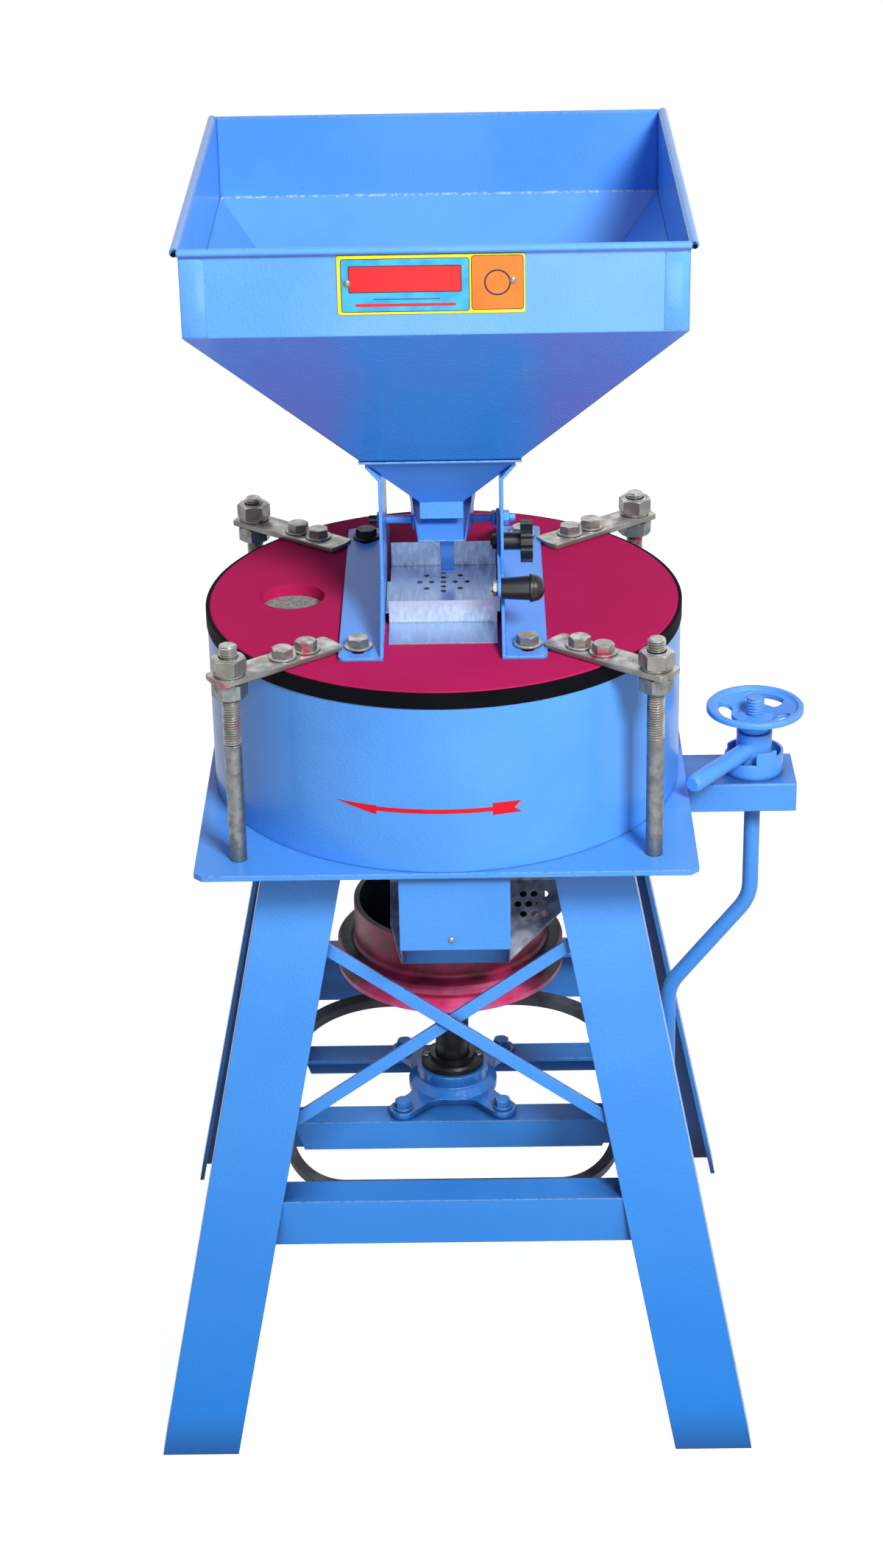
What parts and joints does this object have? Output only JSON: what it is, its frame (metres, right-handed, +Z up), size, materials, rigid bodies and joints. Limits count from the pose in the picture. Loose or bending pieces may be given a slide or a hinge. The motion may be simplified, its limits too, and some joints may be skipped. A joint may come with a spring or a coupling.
{
  "type": "vertical stone flour mill",
  "caption": "Stone flour mill: square hopper over a round clamped casing, drive pulley below, on a splayed channel stand.",
  "frame": {"origin": "middle of the footprint, on the floor; the spindle axis is 36.25 mm to its left", "axes": "+Z up along the spindle, -Y towards the spout and the name plate (front), +X towards the handwheel"},
  "size_m": [0.8486, 0.704, 1.6174],
  "materials": {
    "blue_paint": "gloss enamel, slightly orange-peel",
    "crimson_paint": "semi-gloss enamel",
    "red_paint": "gloss enamel",
    "black_rubber": "matt",
    "black_plastic": "moulded gloss",
    "plated_steel": "yellow-passivated zinc plate",
    "black_steel": "black oxide and satin paint",
    "galvanised_steel": "galvanised sheet",
    "bare_iron": "as cast, turned faces",
    "bearing_steel": "ground",
    "bronze": "turned",
    "emery_stone": "cast emery stone, opaque and rough",
    "plate_print": "printed sheet"
  },
  "bodies": {
    "stand": {"front_left_leg": "blue_paint", "front_right_leg": "blue_paint", "rear_left_leg": "blue_paint", "rear_right_leg": "blue_paint", "front_rail": "blue_paint", "rear_rail": "blue_paint", "left_rail": "blue_paint", "right_rail": "blue_paint", "front_bearing_rail": "blue_paint", "rear_bearing_rail": "blue_paint", "cross_braces": "blue_paint", "base_plate": "blue_paint", "casing_drum": "blue_paint", "flour_spout": "blue_paint", "bearing_housing": "blue_paint", "adjuster_bracket": "blue_paint", "notched_collar": "blue_paint", "left_hopper_bracket": "blue_paint", "right_hopper_bracket": "blue_paint", "hopper_bin": "blue_paint", "hopper_rim": "blue_paint", "hopper_cone": "blue_paint", "neck_bearing_housing": "blue_paint", "beam_pivot_bracket": "blue_paint", "top_plate": "crimson_paint", "casing_gasket": "black_rubber", "drive_belt": "black_rubber", "clamp_studs": "plated_steel", "clamp_nuts": "plated_steel", "clamp_arms": "plated_steel", "clamp_arm_bolts": "plated_steel", "bracket_bolts": "plated_steel", "housing_bolts": "plated_steel", "bearing_cap": "black_steel", "pulley_guard": "black_steel", "feed_tray": "galvanised_steel", "bearing_outer_race": "bearing_steel", "beam_pivot_pin": "bearing_steel", "neck_bush": "bronze", "upper_stone": "emery_stone", "name_plate": "plate_print"},
    "lift": {"footstep_cup": "bearing_steel"},
    "rotor": {"spindle": "black_steel", "pulley": "red_paint", "runner_carrier": "bare_iron", "runner_stone": "emery_stone", "sweepers": "bare_iron", "bearing_inner_race": "bearing_steel"},
    "wheel": {"handwheel": "blue_paint"},
    "rod": {"adjusting_rod": "blue_paint"},
    "beam": {"tentering_beam": "blue_paint"},
    "release": {"release_lever": "blue_paint"},
    "feed": {"pivot_rod": "plated_steel", "feed_chute": "blue_paint", "feed_tongue": "blue_paint", "feed_lever": "blue_paint", "feed_handle": "black_plastic", "feed_fasteners": "plated_steel"},
    "knob": {"lock_knob": "black_plastic"}
  },
  "joints": [
    {"name": "handwheel_turn", "type": "hinge", "parent": "stand", "child": "wheel", "pos_m": [0.36175, -0.008, 0.9], "axis": [0, 0, 1], "range_deg": [-720.4, 720.4]},
    {"name": "rod_draw", "type": "slide", "parent": "stand", "child": "rod", "axis": [0, 0, 1], "range_m": [-0.005, 0.005]},
    {"name": "beam_tilt", "type": "hinge", "parent": "stand", "child": "beam", "pos_m": [-0.28625, -0.008, 0.283], "axis": [0, -1, 0], "range_deg": [-0.53, 0.53]},
    {"name": "spindle_lift", "type": "slide", "parent": "stand", "child": "lift", "axis": [0, 0, 1], "range_m": [-0.00231, 0.00231]},
    {"name": "spindle_spin", "type": "hinge", "parent": "lift", "child": "rotor", "pos_m": [-0.03625, 0, 0.617], "axis": [0, 0, 1], "continuous": true},
    {"name": "release_turn", "type": "hinge", "parent": "stand", "child": "release", "pos_m": [0.36175, -0.008, 0.86], "axis": [0, 0, 1], "range_deg": [-4, 17]},
    {"name": "feed_tilt", "type": "hinge", "parent": "stand", "child": "feed", "pos_m": [-0.03625, 0.02, 1.171], "axis": [-1, 0, 0], "range_deg": [-5, 10]},
    {"name": "knob_turn", "type": "hinge", "parent": "feed", "child": "knob", "pos_m": [0.05075, -0.038, 1.16213], "axis": [1, 0, 0], "continuous": true}
  ],
  "couplings": [
    {"joint": "handwheel_turn", "follows": "spindle_lift", "rad_per_m": -5448.8},
    {"joint": "rod_draw", "follows": "spindle_lift", "ratio": 2.168},
    {"joint": "beam_tilt", "follows": "spindle_lift", "rad_per_m": 4.0001}
  ]
}
